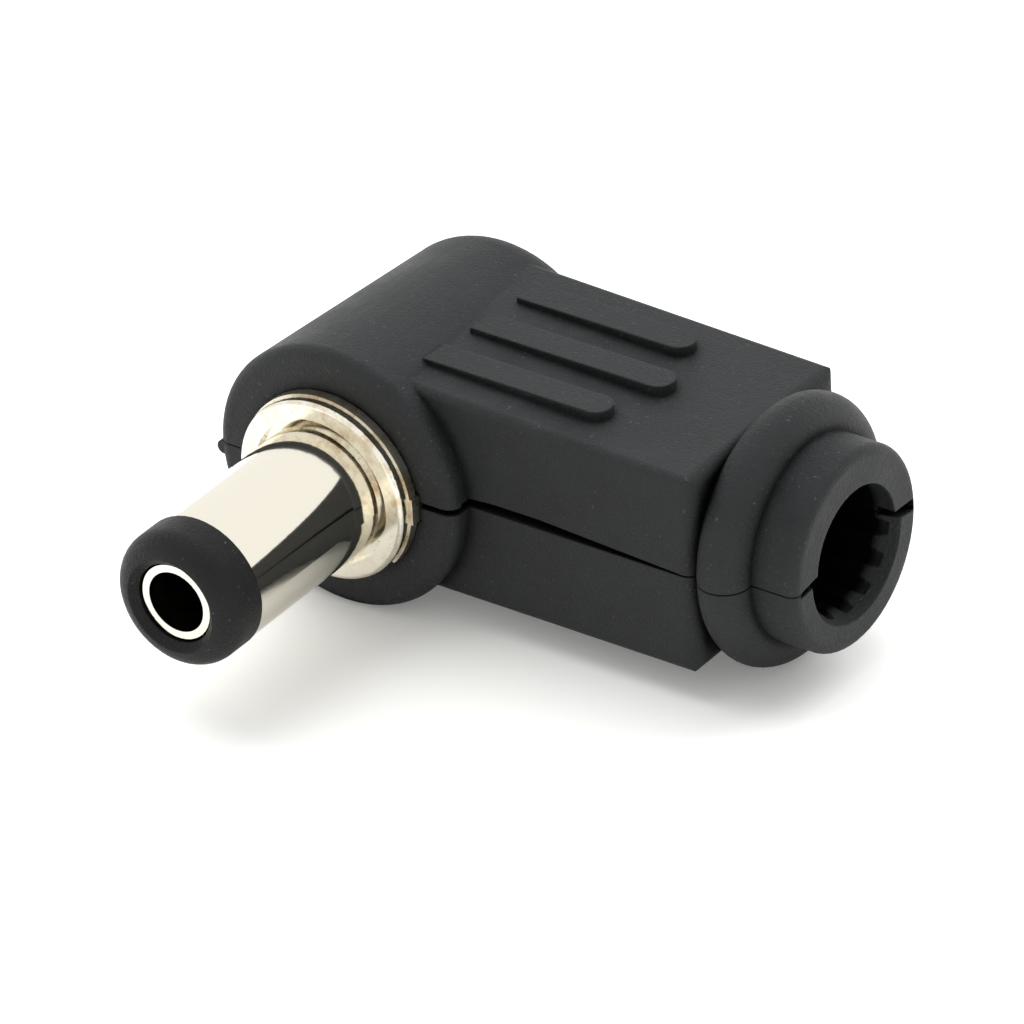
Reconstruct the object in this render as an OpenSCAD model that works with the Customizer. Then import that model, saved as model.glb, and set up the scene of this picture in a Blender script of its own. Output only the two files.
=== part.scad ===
// Right-angle DC power plug, two-part snap housing with a side cable entry.
// The barrel axis is Y with the nose towards -Y, the cable leaves along +X and
// the shells part on the plane z = 0. The origin is where the barrel axis
// crosses the front face of the flange, which is where a mating jack stops.

/* [Barrel] */
// Outside diameter of the metal barrel
barrel_d = 5.5; // [5.3:0.05:5.7]
// Length of the barrel from the flange face to the end of the nose
barrel_len = 9.5; // [9:0.1:14]
// Length of the plastic nose in front of the metal
nose_len = 2; // [1.6:0.1:2.4]
// Radius that rounds the nose
nose_round = 0.95; // [0.6:0.05:1]
// How far the nose stands proud of the metal all round
nose_proud = 0.04; // [0.02:0.01:0.08]
// Chamfer round the hole in the nose
nose_chamfer = 0.3; // [0.1:0.05:0.35]
// Wall of the metal barrel
barrel_wall = 0.35; // [0.25:0.05:0.45]
// Bore of the centre contact
bore_d = 2.5; // [2.1:0.05:2.6]
// Wall of the centre contact
contact_wall = 0.3; // [0.2:0.05:0.35]
// How far the centre contact sits back from the end of the nose
contact_recess = 0.4; // [0.2:0.05:0.8]
// Diameter of the flange
flange_d = 7.55; // [7.3:0.05:7.7]
// Thickness of the flange
flange_t = 0.5; // [0.45:0.05:0.7]
// Radius on the rim of the flange
flange_round = 0.18; // [0.1:0.02:0.2]
// Diameter of the shank behind the flange
shank_d = 4.7; // [4.4:0.1:4.8]
// Width of the relief groove round the foot of the barrel
groove_w = 0.3; // [0.2:0.05:0.4]
// Depth of the relief groove
groove_depth = 0.28; // [0.15:0.05:0.35]
// Undercut of the barrel at the relief groove
undercut = 0.2; // [0.18:0.02:0.24]
// Reach of the undercut in front of the flange face
undercut_reach = 0.08; // [0.06:0.02:0.16]

/* [Contacts] */
// Thickness of both stamped solder lugs
lug_t = 0.4; // [0.3:0.05:0.5]
// Diameter of the ground lug's plate
ground_plate_d = 7.7; // [7.5:0.05:7.8]
// Height of the flat below the centre of the ground plate
ground_flat = 2.5; // [2.5:0.1:3]
// Width of the ground lug's strip
strip_w = 1.1; // [1:0.1:1.6]
// Distance from the ground strip's solder hole to the barrel axis
solder_hole_x = 7; // [6:0.1:8]
// Diameter of the solder holes
solder_hole_d = 0.6; // [0.4:0.1:0.7]
// Length of the two crimp wings along the cable
wing_len = 2; // [1.4:0.1:2.4]
// Reach of the crimp wings from the strip
wing_reach = 3.8; // [2.5:0.1:4.2]
// Distance between the outer faces of the wings
wing_span = 4.8; // [4:0.1:5]
// Width of the centre lug's tab
centre_tab_w = 1.4; // [1:0.1:1.6]
// Reach of the centre lug's tab from the barrel axis
centre_tab_reach = 8.4; // [7:0.1:9]

/* [Housing head] */
// Diameter of the head where it is widest, at the front
head_d = 11; // [10.8:0.1:11.4]
// Diameter of the head at the back
head_back_d = 9.9; // [9.8:0.1:10.6]
// Length of the head along the barrel axis
head_len = 11.95; // [11.6:0.05:12.5]
// Radius on the front edge of the head
head_front_round = 0.5; // [0.3:0.05:0.7]
// Radius on the back edge of the head
head_back_round = 1.35; // [0.8:0.05:1.6]

/* [Housing arm] */
// Distance from the flange face to the middle of the arm
arm_mid = 6.87; // [6.7:0.05:7]
// Width of the arm along the barrel axis
arm_w = 9.75; // [9.4:0.05:10]
// Distance from the barrel axis to the end face of the arm
arm_end = 15.7; // [15.4:0.1:17]
// Height of the arm above the parting plane at the head
arm_top = 4.62; // [4.5:0.02:4.7]
// Height of the arm below the parting plane
arm_bottom = 4.2; // [4.1:0.05:4.4]
// Slope of the arm's top towards the cable end, in degrees
arm_slope = 1.6; // [0:0.1:2]
// Radius on the long edges of the arm
arm_round = 0.35; // [0.2:0.05:0.6]
// Radius on the upright corners at the cable end
arm_corner = 0.6; // [0.3:0.05:1]
// Radius on the top and bottom edges at the cable end
arm_end_round = 0.5; // [0.2:0.05:0.8]
// Wall of both shells
wall = 1.2; // [1.1:0.05:1.3]

/* [Grip ribs] */
// Number of grip ribs on each face of the arm
rib_n = 3; // [1:1:3]
// Pitch of the grip ribs
rib_pitch = 2.72; // [2.2:0.02:2.8]
// Width of a grip rib
rib_w = 1.3; // [0.8:0.05:1.5]
// Height of the top of the ribs above the parting plane
rib_top = 4.82; // [4.8:0.02:5]
// Depth of the face of the lower ribs below the parting plane
rib_low = 4.48; // [4.45:0.01:4.6]
// Distance from the barrel axis to the round end of the outer ribs
rib_end = 10.7; // [9:0.1:12]
// How much further the middle rib runs
rib_extra = 0.95; // [0:0.05:1.4]
// Distance from the barrel axis to the root of the middle rib
rib_root = 2.85; // [2.6:0.05:3.4]
// Slant of the roots of the ribs, in degrees
rib_slant = 5; // [0:1:12]

/* [Cable outlet] */
// Diameter of the bead behind the outlet
bead_d = 10.7; // [10.5:0.05:11]
// Thickness of the bead along the cable
bead_t = 2.1; // [1.8:0.05:2.3]
// Diameter of the outlet
outlet_d = 8.2; // [8:0.05:8.6]
// Distance from the barrel axis to the end face of the outlet
outlet_end = 19.7; // [19:0.1:21]
// Radius on the rim of the outlet
outlet_round = 0.4; // [0.1:0.02:0.6]
// Bore for the cable
cable_d = 5.2; // [4.6:0.05:5.4]
// Number of gripping flutes in the lower half of the bore
flute_n = 7; // [3:1:7]
// Radius of a flute
flute_r = 0.34; // [0.2:0.02:0.36]
// Depth of the flared mouth of the lower half of the bore
mouth_depth = 0.9; // [0.3:0.05:1.2]
// Widening of the mouth
mouth_flare = 0.35; // [0.1:0.05:0.5]

/* [Parting and fits] */
// Gap left between the rims of the shells
parting_gap = 0.05; // [0.02:0.01:0.1]
// Height of the bowed gap along the front of the arm
bow_gap = 0.44; // [0.1:0.02:0.45]
// Height of the tongue inside the rim of the bottom shell
tongue_h = 0.8; // [0.6:0.05:1]
// Thickness of the tongue
tongue_w = 0.5; // [0.4:0.05:0.6]
// Clearance between pieces that slide together
fit = 0.05; // [0.03:0.01:0.08]
// Radius of the locating pegs
peg_r = 0.45; // [0.35:0.05:0.5]
// Height of the locating pegs above their bosses
peg_h = 1.5; // [1:0.1:2]

/* [Hidden] */
$fn = 64;

// Overshoot of a cutting body past the face that it cuts
over = 0.5;

// Barrel
barrel_r = barrel_d / 2;
sleeve_front = -(barrel_len - nose_len);
sleeve_bore_r = barrel_r - barrel_wall;
contact_r = bore_d / 2 + contact_wall;
contact_front = -(barrel_len - contact_recess);
flange_r = flange_d / 2;
shank_r = shank_d / 2;
shank_bore_r = shank_r - barrel_wall;

// Stack along the barrel axis, from the flange backwards
lug_front = flange_t;
lug_back = lug_front + lug_t;
head_front = lug_back + fit;
wall_back = head_front + wall;
collar_r = shank_r + 0.7;
collar_back = wall_back + fit + 1.2;
centre_lug_back = collar_back + lug_t;
rivet_r = contact_r + 0.45;
rivet_t = 0.3;

// Head
head_r = head_d / 2;
head_back_r = head_back_d / 2;
head_back = head_front + head_len;
head_cavity_r = head_back_r - wall + 0.15;
head_cavity_back = head_back - wall;

// Arm
arm_front = arm_mid - arm_w / 2;
arm_back = arm_mid + arm_w / 2;
arm_root = head_r * 0.4;
arm_cavity_front = arm_front + wall;
arm_cavity_back = arm_back - wall;
arm_cavity_end = arm_end - wall;
arm_cavity_top = arm_top - (arm_end - arm_root) * tan(arm_slope) - wall + 0.2;
arm_cavity_bottom = arm_bottom - wall;

// Cable outlet
bead_r = bead_d / 2;
bead_tube = bead_t / 2;
bead_x = arm_end + bead_tube - 0.05;
outlet_r = outlet_d / 2;
cable_r = cable_d / 2;
flute_x = cable_r - 0.05;

// Ground strip, which runs back past the collar and out along the arm
plate_r = ground_plate_d / 2;
strip_out = plate_r + 0.07;
strip_back = arm_cavity_front + 1.8;
strip_end = arm_end - 2.2;
strip_slot = 0.05;

// Bosses with pegs, one in each cable-end corner and one at the back of the head
boss_r = peg_r + 0.45;
boss_in = boss_r - tongue_w;
boss_sink = 0.3;
pegs = [
  [arm_cavity_end - boss_in, arm_cavity_back - boss_in],
  [arm_cavity_end - boss_in, arm_cavity_front + boss_in],
  [-head_cavity_r / 2, head_cavity_back - boss_in]
];

// Turns a profile of radius and length about the barrel axis
module turned() {
  rotate([-90, 0, 0]) rotate_extrude() children();
}

// Cylinder on the barrel axis between two stations
module barrel_cylinder(r, from, to) {
  translate([0, from, 0]) rotate([-90, 0, 0]) cylinder(r = r, h = to - from);
}

// Cylinder on the cable axis between two stations
module cable_cylinder(r, from, to) {
  translate([from, arm_mid, 0]) rotate([0, 90, 0]) cylinder(r = r, h = to - from);
}

// Rectangle given by its corners
module corners(x0, y0, x1, y1) {
  translate([x0, y0]) square([x1 - x0, y1 - y0]);
}

// Block given by its corners
module block(a, b) {
  translate(a) cube(b - a);
}

// Barrel, flange and staking shank, turned in one piece
module sleeve() {
  color("silver") turned() difference() {
    union() {
      corners(0, sleeve_front, barrel_r, flange_t);
      corners(0, 0, flange_r - flange_round, flange_t);
      corners(0, flange_round, flange_r, flange_t);
      translate([flange_r - flange_round, flange_round]) circle(flange_round);
      corners(0, 0, shank_r, wall_back);
    }
    corners(barrel_r, -undercut_reach, barrel_r + groove_w, groove_depth);
    corners(barrel_r - undercut, -undercut_reach, barrel_r + over / 4, groove_depth);
    corners(-over, sleeve_front - over, sleeve_bore_r, -flange_t);
    corners(-over, -flange_t - over, shank_bore_r, wall_back + over);
  }
}

// Plastic bush that keeps the barrel and the centre contact apart, with the nose
module insulator() {
  nose_r = barrel_r + nose_proud;
  stem_r = sleeve_bore_r - fit;
  hole_r = contact_r + 2 * fit;
  color([0.09, 0.09, 0.1]) turned() difference() {
    union() {
      corners(0, -barrel_len, nose_r - nose_round, sleeve_front);
      corners(0, -barrel_len + nose_round, nose_r, sleeve_front);
      translate([nose_r - nose_round, -barrel_len + nose_round]) circle(nose_round);
      corners(0, sleeve_front - over, stem_r, -flange_t - fit);
      corners(0, -flange_t - over, shank_bore_r - fit, collar_back);
      corners(0, wall_back + fit, collar_r, collar_back);
    }
    corners(-over, -barrel_len - over, contact_r + fit, collar_back + over);
    corners(-over, -barrel_len - over, hole_r, contact_front + contact_recess);
    polygon([
      [hole_r - over, -barrel_len - over], [hole_r + nose_chamfer + over, -barrel_len - over],
      [hole_r, -barrel_len + nose_chamfer], [hole_r - over, -barrel_len + nose_chamfer]
    ]);
  }
}

// Hollow centre contact, riveted over the centre lug
module centre_contact() {
  color("silver") turned() difference() {
    union() {
      corners(0, contact_front, contact_r, centre_lug_back);
      corners(0, centre_lug_back, rivet_r, centre_lug_back + rivet_t);
    }
    corners(-over, contact_front - over, bore_d / 2, centre_lug_back + rivet_t + over);
  }
}

// Stamped ground lug: plate behind the flange, strip, solder hole and crimp wings
module ground_lug() {
  strip_in = strip_out - lug_t;
  half = strip_w / 2;
  strip_front = strip_back - lug_t;
  wing_x = strip_end - wing_len;
  wing_z = wing_span / 2;
  color("gainsboro") difference() {
    union() {
      difference() {
        barrel_cylinder(plate_r, lug_front, lug_back);
        barrel_cylinder(shank_r + fit, lug_front - over, lug_back + over);
        block([-plate_r - over, lug_front - over, -plate_r - over], [plate_r, lug_back + over, -ground_flat]);
      }
      block([strip_in - over, lug_front, -half], [strip_out, lug_back, half]);
      block([strip_in, lug_front, -half], [strip_out, strip_back, half]);
      block([strip_in, strip_front, -half], [strip_end, strip_back, half]);
      block([wing_x, strip_front, -wing_z], [strip_end, strip_back, wing_z]);
      for (side = [0, 1]) mirror([0, 0, side]) {
        block([wing_x, strip_front, wing_z - lug_t], [strip_end, strip_back + wing_reach, wing_z]);
      }
    }
    translate([solder_hole_x, strip_back + over, 0]) rotate([90, 0, 0]) {
      cylinder(d = solder_hole_d, h = lug_t + 2 * over);
    }
  }
}

// Stamped centre lug on the back of the insulator's collar
module centre_lug() {
  tab_low = strip_w / 2 + 0.35;
  color("gainsboro") difference() {
    union() {
      barrel_cylinder(rivet_r + 0.5, collar_back, centre_lug_back);
      block([0, collar_back, tab_low], [centre_tab_reach, centre_lug_back, tab_low + centre_tab_w]);
    }
    barrel_cylinder(contact_r + fit, collar_back - over, centre_lug_back + over);
    translate([centre_tab_reach - 1, centre_lug_back + over, tab_low + centre_tab_w / 2]) {
      rotate([90, 0, 0]) cylinder(d = solder_hole_d * 0.8, h = lug_t + 2 * over);
    }
  }
}

// Outer form of the head: slightly tapered, with rounded edges
module head_form() {
  widest = head_front + head_front_round;
  fall = head_back - head_back_round;
  turned() {
    polygon([
      [0, head_front], [head_r - head_front_round, head_front], [head_r, widest],
      [head_back_r, fall], [head_back_r - head_back_round, head_back], [0, head_back]
    ]);
    translate([head_r - head_front_round, widest]) circle(head_front_round);
    translate([head_back_r - head_back_round, fall]) circle(head_back_round);
  }
}

// Long bar with two rounded edges on its top face, which lies at z = 0
module round_topped_bar(length, depth) {
  rotate([90, 0, 90]) linear_extrude(length) {
    corners(arm_front + arm_round, -depth, arm_back - arm_round, 0);
    corners(arm_front, -depth, arm_back, -arm_round);
    translate([arm_front + arm_round, -arm_round]) circle(arm_round);
    translate([arm_back - arm_round, -arm_round]) circle(arm_round);
  }
}

// Rectangle from the barrel axis to the end of the arm, with its two far corners rounded
module round_ended(low, high, round) {
  corners(0, low, arm_end - round, high);
  corners(0, low + round, arm_end, high - round);
  translate([arm_end - round, low + round]) circle(round);
  translate([arm_end - round, high - round]) circle(round);
}

// Outer form of the arm: sloping top, rounded long edges and back corner
module arm_form() {
  tall = arm_top + arm_bottom + 1;
  intersection() {
    translate([arm_root, 0, arm_top]) rotate([0, arm_slope, 0]) {
      translate([-arm_root, 0, 0]) round_topped_bar(arm_end * 1.2, tall);
    }
    translate([0, 0, -arm_bottom]) mirror([0, 0, 1]) round_topped_bar(arm_end * 1.2, tall);
    translate([0, 0, -tall]) linear_extrude(2 * tall) round_ended(arm_front, arm_back, arm_corner);
    translate([0, arm_back + over, 0]) rotate([90, 0, 0]) linear_extrude(arm_w + 2 * over) {
      round_ended(-arm_bottom, arm_top - (arm_end - arm_end_round - arm_root) * tan(arm_slope), arm_end_round);
      corners(0, 0, arm_end - arm_end_round, arm_top + over);
    }
  }
}

// Bead and outlet round the cable
module outlet_form() {
  translate([0, arm_mid, 0]) rotate([0, 90, 0]) {
    translate([0, 0, bead_x]) rotate_extrude() translate([bead_r - bead_tube, 0]) circle(bead_tube);
    rotate_extrude() {
      corners(0, arm_cavity_end, outlet_r, outlet_end - outlet_round);
      corners(0, arm_cavity_end, outlet_r - outlet_round, outlet_end);
      translate([outlet_r - outlet_round, outlet_end - outlet_round]) circle(outlet_round);
    }
  }
}

// Grip ribs of one face: round at the cable end, cut at a slant beside the head
module ribs(low, high) {
  middle = (rib_n - 1) / 2;
  for (i = [0 : rib_n - 1]) {
    reach = rib_end + (abs(i - middle) < 0.5 ? rib_extra : 0) - rib_w / 2;
    root = rib_root + (i - middle) * rib_pitch * tan(rib_slant);
    skew = rib_w / 2 * tan(rib_slant);
    translate([0, arm_mid + (i - middle) * rib_pitch, low]) linear_extrude(high - low) {
      polygon([
        [root - skew, -rib_w / 2], [reach, -rib_w / 2], [reach, rib_w / 2], [root + skew, rib_w / 2]
      ]);
      translate([reach, 0]) circle(rib_w / 2);
    }
  }
}

// Whole outside of the closed housing
module housing_form() {
  head_form();
  arm_form();
  outlet_form();
  ribs(arm_cavity_top, rib_top);
  ribs(-rib_low, -arm_cavity_bottom);
}

// Wiring space, front opening, strip slot and cable bore
module cavity() {
  barrel_cylinder(head_cavity_r, wall_back, head_cavity_back);
  block([0, arm_cavity_front, -arm_cavity_bottom], [arm_cavity_end, arm_cavity_back, arm_cavity_top]);
  barrel_cylinder(shank_r + fit, head_front - over, wall_back + over);
  block([strip_out - lug_t - strip_slot, head_front - over, -strip_w / 2 - strip_slot],
    [strip_out + strip_slot, arm_cavity_front + over, strip_w / 2 + strip_slot]);
  cable_cylinder(cable_r, arm_cavity_end - over, outlet_end + over);
}

// Outline of the wiring space on the parting plane, grown by a margin
module cavity_plan(grow) {
  corners(-head_cavity_r - grow, wall_back - grow, head_cavity_r + grow, head_cavity_back + grow);
  corners(0, arm_cavity_front - grow, arm_cavity_end + grow, arm_cavity_back + grow);
}

// Bowed gap along the front of the arm and the narrow one across the head
module parting_relief() {
  corner_x = head_r * 0.9;
  crest_x = corner_x + (arm_end - corner_x) * 0.25;
  translate([0, arm_front + wall, 0]) rotate([90, 0, 0]) linear_extrude(wall + over) {
    polygon([
      [corner_x - over, 0], [corner_x, bow_gap * 0.7], [crest_x - 1, bow_gap],
      [crest_x + 1, bow_gap], [arm_end, parting_gap], [arm_end, 0]
    ]);
  }
  block([shank_r, head_front - over, 0], [head_r, arm_front + over, bow_gap * 0.6]);
}

// Open notches at the parting line on the end face of the outlet
module outlet_notches() {
  notch_depth = 0.9;
  translate([outlet_end - notch_depth, arm_mid, 0]) rotate([90, 0, 90]) linear_extrude(notch_depth + over) {
    polygon([
      [cable_r - over, -0.08], [cable_r - over, 0.32], [cable_r, 0.32],
      [outlet_r - 0.25, 0.27], [outlet_r - 0.2, -0.27], [cable_r, -0.08]
    ]);
    polygon([
      [-cable_r + over, 0.12], [-cable_r, 0.26], [-outlet_r + 0.45, 0.1],
      [-outlet_r + 0.35, -0.14], [-cable_r, -0.06]
    ]);
  }
}

module top_shell() {
  color([0.13, 0.13, 0.14]) difference() {
    union() {
      difference() {
        housing_form();
        cavity();
      }
      for (p = pegs) intersection() {
        translate([p[0], p[1], 0]) cylinder(r = boss_r, h = head_d);
        translate([0, 0, -boss_sink]) housing_form();
      }
    }
    block([-head_d, -over, -head_d], [outlet_end + over, head_back + over, parting_gap]);
    linear_extrude(tongue_h) cavity_plan(tongue_w + fit);
    for (p = pegs) translate(p) cylinder(r = peg_r + fit, h = tongue_h + peg_h + fit);
    parting_relief();
    outlet_notches();
  }
}

module bottom_shell() {
  color([0.11, 0.11, 0.12]) difference() {
    union() {
      difference() {
        housing_form();
        block([-head_d, -over, 0], [outlet_end + over, head_back + over, head_d]);
      }
      linear_extrude(tongue_h) cavity_plan(tongue_w);
      nub();
    }
    difference() {
      cavity();
      for (p = pegs) translate([p[0], p[1], -head_d]) cylinder(r = boss_r, h = head_d + tongue_h);
    }
    linear_extrude(tongue_h + over) difference() {
      cavity_plan(0);
      for (p = pegs) translate(p) circle(boss_r);
    }
    flutes();
    outlet_notches();
  }
  for (p = pegs) translate([p[0], p[1], tongue_h - 0.2]) color("black") cylinder(r = peg_r, h = peg_h + 0.2);
}

// Moulding nub left at the parting line on the side of the head
module nub() {
  nub_r = 0.3;
  translate([-head_r + nub_r - 0.15, head_front + 0.15, -nub_r]) rotate([-90, 0, 0]) {
    cylinder(r = nub_r, h = 1);
  }
}

// Flutes and flared mouth of the lower half of the cable bore
module flutes() {
  step = 180 / flute_n;
  intersection() {
    union() {
      for (i = [0 : flute_n - 1]) {
        a = -(i + 0.5) * step;
        translate([0, flute_x * cos(a), flute_x * sin(a)]) {
          cable_cylinder(flute_r, arm_cavity_end - over, outlet_end - mouth_depth / 2);
        }
      }
      translate([outlet_end - mouth_depth, arm_mid, 0]) rotate([0, 90, 0]) {
        cylinder(r1 = cable_r, r2 = cable_r + mouth_flare * 2, h = mouth_depth * 2);
      }
    }
    block([0, 0, -head_d], [outlet_end + 2 * over, head_back, 0]);
  }
}

top_shell();
bottom_shell();
sleeve();
ground_lug();
insulator();
centre_contact();
centre_lug();
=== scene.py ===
import math
import bpy
from mathutils import Matrix, Vector


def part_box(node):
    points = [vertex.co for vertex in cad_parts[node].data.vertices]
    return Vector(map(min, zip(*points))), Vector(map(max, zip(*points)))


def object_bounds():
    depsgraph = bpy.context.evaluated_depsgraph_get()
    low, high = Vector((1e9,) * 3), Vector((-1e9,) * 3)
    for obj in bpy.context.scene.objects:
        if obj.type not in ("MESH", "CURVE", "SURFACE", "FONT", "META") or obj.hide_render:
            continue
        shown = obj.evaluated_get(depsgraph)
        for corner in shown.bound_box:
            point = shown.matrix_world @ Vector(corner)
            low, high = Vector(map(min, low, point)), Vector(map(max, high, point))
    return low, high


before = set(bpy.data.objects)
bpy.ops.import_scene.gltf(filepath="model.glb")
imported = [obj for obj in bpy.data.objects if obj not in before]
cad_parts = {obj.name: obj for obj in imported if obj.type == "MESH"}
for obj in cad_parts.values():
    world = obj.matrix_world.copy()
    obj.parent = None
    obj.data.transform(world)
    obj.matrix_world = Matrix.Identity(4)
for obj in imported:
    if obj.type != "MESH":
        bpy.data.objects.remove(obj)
cad_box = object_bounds()

LOW, HIGH = Vector(cad_box[0]), Vector(cad_box[1])
FLOOR_Z = LOW.z

BLACK, WHITE = (0, 0, 0), (1, 1, 1)

# The camera: a long lens far off, above the nose and towards the cable outlet
AZIMUTH = math.radians(36.96)
ELEVATION = math.radians(31.66)
ROLL = math.radians(-3.23)
DISTANCE = 0.4518
LENS = 422.3
# Where it aims, as shares of the CAD box along x, y and z
AIM_SHARE = (0.4635, 0.5936, 0.4092)
AIM = Vector([a + share * (b - a) for a, b, share in zip(LOW, HIGH, AIM_SHARE)])

# Painted shade inside the bore round the cable axis: its start behind the outlet's face, the length of its
# fade, its radius
BORE_START = 0.0006
BORE_FADE = 0.0004
BORE_REACH = 0.0031

# Stains on the metal fade in towards the flange between these two places along y
STAIN_START = -0.0008
STAIN_FULL = 0.0001

# Strength added to the floor for camera rays, and of the world for reflections and for other light
FLOOR_LIFT = 0.14
MIRROR_LIGHT = 1.10
SOFT_LIGHT = 0.78


def material(name, base, rough, metal=0.0):
    m = bpy.data.materials.new(name)
    m.use_nodes = True
    b = m.node_tree.nodes["Principled BSDF"]
    b.inputs["Base Color"].default_value = (*base, 1)
    b.inputs["Roughness"].default_value = rough
    b.inputs["Metallic"].default_value = metal
    return m, m.node_tree, b


def object_coords(tree):
    return tree.nodes.new("ShaderNodeTexCoord").outputs["Object"]


def split(tree, vector):
    """The X, Y and Z sockets of a vector."""
    parts = tree.nodes.new("ShaderNodeSeparateXYZ")
    tree.links.new(vector, parts.inputs["Vector"])
    return parts.outputs


def noise(tree, coords, scale, detail, rough):
    n = tree.nodes.new("ShaderNodeTexNoise")
    n.inputs["Scale"].default_value = scale
    n.inputs["Detail"].default_value = detail
    n.inputs["Roughness"].default_value = rough
    tree.links.new(coords, n.inputs["Vector"])
    return n.outputs["Fac"]


def ramp(tree, source, stops):
    r = tree.nodes.new("ShaderNodeValToRGB")
    while len(r.color_ramp.elements) < len(stops):
        r.color_ramp.elements.new(0.5)
    for e, (pos, colour) in zip(r.color_ramp.elements, stops):
        e.position = pos
        e.color = (*colour, 1)
    tree.links.new(source, r.inputs["Fac"])
    return r.outputs["Color"]


def map_range(tree, source, start, end, low=0.0, high=1.0):
    m = tree.nodes.new("ShaderNodeMapRange")
    m.inputs["From Min"].default_value = start
    m.inputs["From Max"].default_value = end
    m.inputs["To Min"].default_value = low
    m.inputs["To Max"].default_value = high
    tree.links.new(source, m.inputs["Value"])
    return m.outputs["Result"]


def math_node(tree, operation, first, second):
    """A math node on a socket and a second socket or plain number."""
    m = tree.nodes.new("ShaderNodeMath")
    m.operation = operation
    tree.links.new(first, m.inputs[0])
    if isinstance(second, float):
        m.inputs[1].default_value = second
    else:
        tree.links.new(second, m.inputs[1])
    return m.outputs["Value"]


def vector_node(tree, operation, source, other=(0, 0, 0)):
    """A vector math node on a socket and a plain vector."""
    v = tree.nodes.new("ShaderNodeVectorMath")
    v.operation = operation
    v.inputs[1].default_value = other
    tree.links.new(source, v.inputs[0])
    return v.outputs


def mix_colour(tree, factor, first, second):
    m = tree.nodes.new("ShaderNodeMix")
    m.data_type = "RGBA"
    for socket, value in (("Factor", factor), ("A", first), ("B", second)):
        if isinstance(value, (tuple, list)):
            m.inputs[socket].default_value = (*value, 1)
        else:
            tree.links.new(value, m.inputs[socket])
    return m.outputs["Result"]


def bump(tree, source, bsdf, strength, distance, under=None):
    b = tree.nodes.new("ShaderNodeBump")
    b.inputs["Strength"].default_value = strength
    b.inputs["Distance"].default_value = distance
    tree.links.new(source, b.inputs["Height"])
    if under:
        tree.links.new(under, b.inputs["Normal"])
    tree.links.new(b.outputs["Normal"], bsdf.inputs["Normal"])
    return b.outputs["Normal"]


def bore_shade_mask(tree, coords):
    """Mask of the painted shade inside the cable bore: 1 within BORE_REACH of the cable axis, from just
    inside the outlet, and 0 elsewhere.

    It has no far end: it runs through the whole part, and so it also marks the head opposite the outlet.
    """
    shell_low, shell_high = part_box("top_shell")
    axis_y = (shell_low[1] + shell_high[1]) / 2
    centred = vector_node(tree, "SUBTRACT", coords, (HIGH.x - BORE_START, axis_y, 0))["Vector"]
    across = vector_node(tree, "MULTIPLY", centred, (0, 1, 1))["Vector"]
    radius = vector_node(tree, "LENGTH", across)["Value"]
    near_axis = math_node(tree, "LESS_THAN", radius, BORE_REACH)
    deep = map_range(tree, split(tree, centred)["X"], 0.0, -BORE_FADE)
    return math_node(tree, "MULTIPLY", near_axis, deep)


def plastic(name, base, rough, grain, edge, specular):
    """Moulded black plastic: grain, cloudy tone, pale dust, softened edges, painted shade in crevices and
    painted shade inside the cable bore.
    """
    m, t, b = material(name, base, rough)
    c = object_coords(t)
    fine = noise(t, c, 9000, 3.0, 0.7)
    cloud = noise(t, c, 500, 4.0, 0.65)
    tone = ramp(t, cloud, [(0.3, [v * 0.75 for v in base]), (0.7, [v * 1.3 for v in base])])
    dust = ramp(t, noise(t, c, 7000, 1.0, 0.5), [(0.70, BLACK), (0.80, (0.6, 0.6, 0.6))])
    colour = mix_colour(t, dust, tone, [0.10, 0.10, 0.095])
    # Painted shade: an ambient-occlusion mask darkens base colour and specular in crevices and grooves
    crevice_ao = t.nodes.new("ShaderNodeAmbientOcclusion")
    crevice_ao.samples = 6
    crevice_ao.inputs["Distance"].default_value = 0.0007
    crevice_unshaded = ramp(t, crevice_ao.outputs["AO"], [(0.30, (0.12, 0.12, 0.12)), (0.85, WHITE)])
    # Painted shade inside the cable bore, mixed into base colour and specular together with the crevice
    # shade
    unshaded_share = mix_colour(t, bore_shade_mask(t, c), crevice_unshaded, [0.08, 0.08, 0.08])
    shaded = mix_colour(t, unshaded_share, [0.0006, 0.0006, 0.0007], colour)
    t.links.new(shaded, b.inputs["Base Color"])
    t.links.new(math_node(t, "MULTIPLY", unshaded_share, specular), b.inputs["Specular IOR Level"])
    worn = ramp(t, cloud, [(0.35, (rough - 0.06,) * 3), (0.65, (rough + 0.08,) * 3)])
    t.links.new(worn, b.inputs["Roughness"])
    soft_edge = t.nodes.new("ShaderNodeBevel")
    soft_edge.samples = 6
    soft_edge.inputs["Radius"].default_value = edge
    n = bump(t, fine, b, grain, 0.00007, soft_edge.outputs["Normal"])
    bump(t, cloud, b, 0.5, 0.00012, n)
    return m


def nickel(name, base, rough, stain):
    """Bright nickel plate, stained and pitted round the flange and clean along the barrel."""
    m, t, b = material(name, base, rough, 1.0)
    c = object_coords(t)
    place = split(t, c)
    near_flange = map_range(t, place["Y"], STAIN_START, STAIN_FULL)
    # The brown blots are heaviest on the upper side towards the cable outlet
    upper = map_range(t, math_node(t, "ADD", place["X"], place["Z"]), -0.003, 0.004, low=0.15)
    blot = ramp(t, noise(t, c, 900, 5.0, 0.7), [(0.46, BLACK), (0.74, WHITE)])
    amount = math_node(t, "MULTIPLY", near_flange, upper)
    stained = mix_colour(t, math_node(t, "MULTIPLY", amount, blot), base, stain)
    pits = ramp(t, noise(t, c, 6500, 2.0, 0.6), [(0.66, BLACK), (0.72, WHITE)])
    pit_share = math_node(t, "MULTIPLY", near_flange, pits)
    t.links.new(mix_colour(t, pit_share, stained, [0.22, 0.17, 0.11]), b.inputs["Base Color"])
    dull = map_range(t, near_flange, 0.0, 1.0, rough, rough + 0.10)
    t.links.new(dull, b.inputs["Roughness"])
    bump(t, noise(t, c, 2500, 4.0, 0.65), b, 0.12, 0.00001)
    return m


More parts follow.
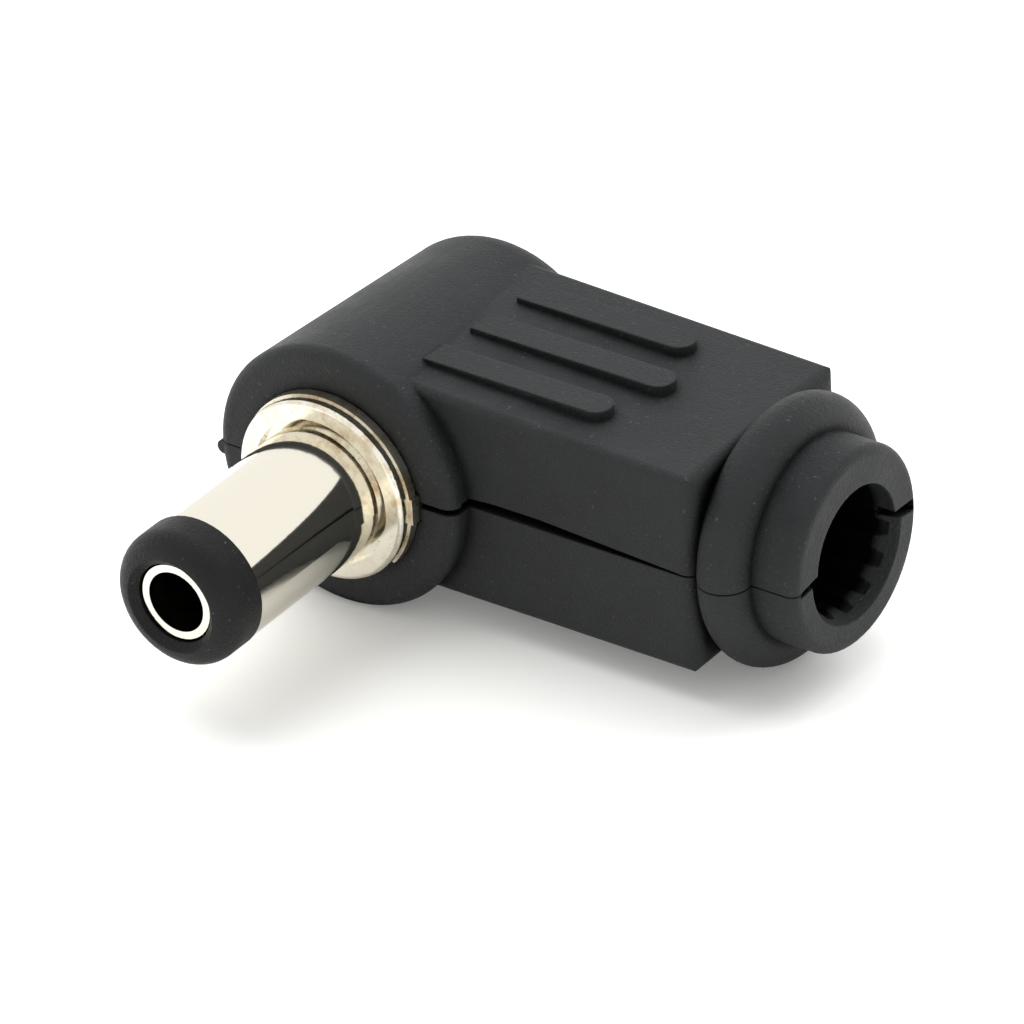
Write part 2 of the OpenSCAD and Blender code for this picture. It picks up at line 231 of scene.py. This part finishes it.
def lay_floor():
    """A white floor, a little lifted for the camera so that the shadow on it stays pale."""
    bpy.ops.mesh.primitive_plane_add(size=4, location=(0, 0, FLOOR_Z))
    floor = bpy.context.object
    floor.name = "floor"
    m, t, b = material("floor_white", (0.90, 0.90, 0.885), 0.9)
    ray = t.nodes.new("ShaderNodeLightPath")
    glow = t.nodes.new("ShaderNodeEmission")
    glow.inputs["Color"].default_value = (1.0, 1.0, 0.96, 1)
    t.links.new(math_node(t, "MULTIPLY", ray.outputs["Is Camera Ray"], FLOOR_LIFT), glow.inputs["Strength"])
    both = t.nodes.new("ShaderNodeAddShader")
    t.links.new(b.outputs["BSDF"], both.inputs[0])
    t.links.new(glow.outputs["Emission"], both.inputs[1])
    t.links.new(both.outputs["Shader"], t.nodes["Material Output"].inputs["Surface"])
    floor.data.materials.append(m)


def light_world():
    """Plain white for the camera, brighter for reflections and a soft grey for all other light."""
    world = bpy.data.worlds.new("studio")
    bpy.context.scene.world = world
    world.use_nodes = True
    t = world.node_tree
    t.nodes.clear()
    out = t.nodes.new("ShaderNodeOutputWorld")
    seen = t.nodes.new("ShaderNodeBackground")
    lit = t.nodes.new("ShaderNodeBackground")
    pick = t.nodes.new("ShaderNodeMixShader")
    path = t.nodes.new("ShaderNodeLightPath")
    seen.inputs["Color"].default_value = (*WHITE, 1)
    lit.inputs["Color"].default_value = (*WHITE, 1)
    strength = map_range(t, path.outputs["Is Glossy Ray"], 0.0, 1.0, SOFT_LIGHT, MIRROR_LIGHT)
    t.links.new(strength, lit.inputs["Strength"])
    t.links.new(path.outputs["Is Camera Ray"], pick.inputs["Fac"])
    t.links.new(lit.outputs["Background"], pick.inputs[1])
    t.links.new(seen.outputs["Background"], pick.inputs[2])
    t.links.new(pick.outputs["Shader"], out.inputs["Surface"])


def area(name, where, size, power):
    """A rectangular lamp turned to the origin and left out of reflections."""
    d = bpy.data.lights.new(name, "AREA")
    d.shape = "RECTANGLE"
    d.size, d.size_y = size
    d.energy = power
    o = bpy.data.objects.new(name, d)
    bpy.context.collection.objects.link(o)
    o.visible_glossy = False
    o.location = where
    o.rotation_euler = (-Vector(where)).to_track_quat("-Z", "Y").to_euler()


def place_camera():
    """The camera named above, rolled about its own line of sight."""
    data = bpy.data.cameras.new("camera")
    data.lens = LENS
    data.clip_end = 10
    cam = bpy.data.objects.new("camera", data)
    bpy.context.collection.objects.link(cam)
    bpy.context.scene.camera = cam
    flat = math.cos(ELEVATION)
    away = Vector((math.sin(AZIMUTH) * flat, -math.cos(AZIMUTH) * flat, math.sin(ELEVATION)))
    cam.location = AIM + away * DISTANCE
    cam.rotation_mode = "QUATERNION"
    facing = (-away).to_track_quat("-Z", "Y")
    cam.rotation_quaternion = facing @ Matrix.Rotation(ROLL, 3, "Z").to_quaternion()


shell_mat = plastic("shell_plastic", (0.0150, 0.0162, 0.0170), 0.54, 1.0, 0.00014, 0.27)
nose_mat = plastic("nose_plastic", (0.0075, 0.0077, 0.0076), 0.46, 0.9, 0.00010, 0.20)
nickel_mat = nickel("nickel_plate", (0.83, 0.79, 0.68), 0.07, (0.50, 0.37, 0.22))
lug_mat = nickel("tinned_brass", (0.72, 0.68, 0.58), 0.22, (0.40, 0.30, 0.18))

LOOK = {
    "top_shell": shell_mat, "bottom_shell": shell_mat, "insulator": nose_mat,
    "sleeve": nickel_mat, "centre_contact": nickel_mat, "ground_lug": lug_mat, "centre_lug": lug_mat,
}
for name, look in LOOK.items():
    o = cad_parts[name]
    o.data.materials.clear()
    o.data.materials.append(look)

lay_floor()
light_world()
area("key", (-0.22, 0.10, 0.45), (0.60, 0.60), 3.0)
area("back", (0.12, 0.45, 0.32), (0.55, 0.35), 2.4)
place_camera()

bpy.context.scene.view_settings.view_transform = "Standard"
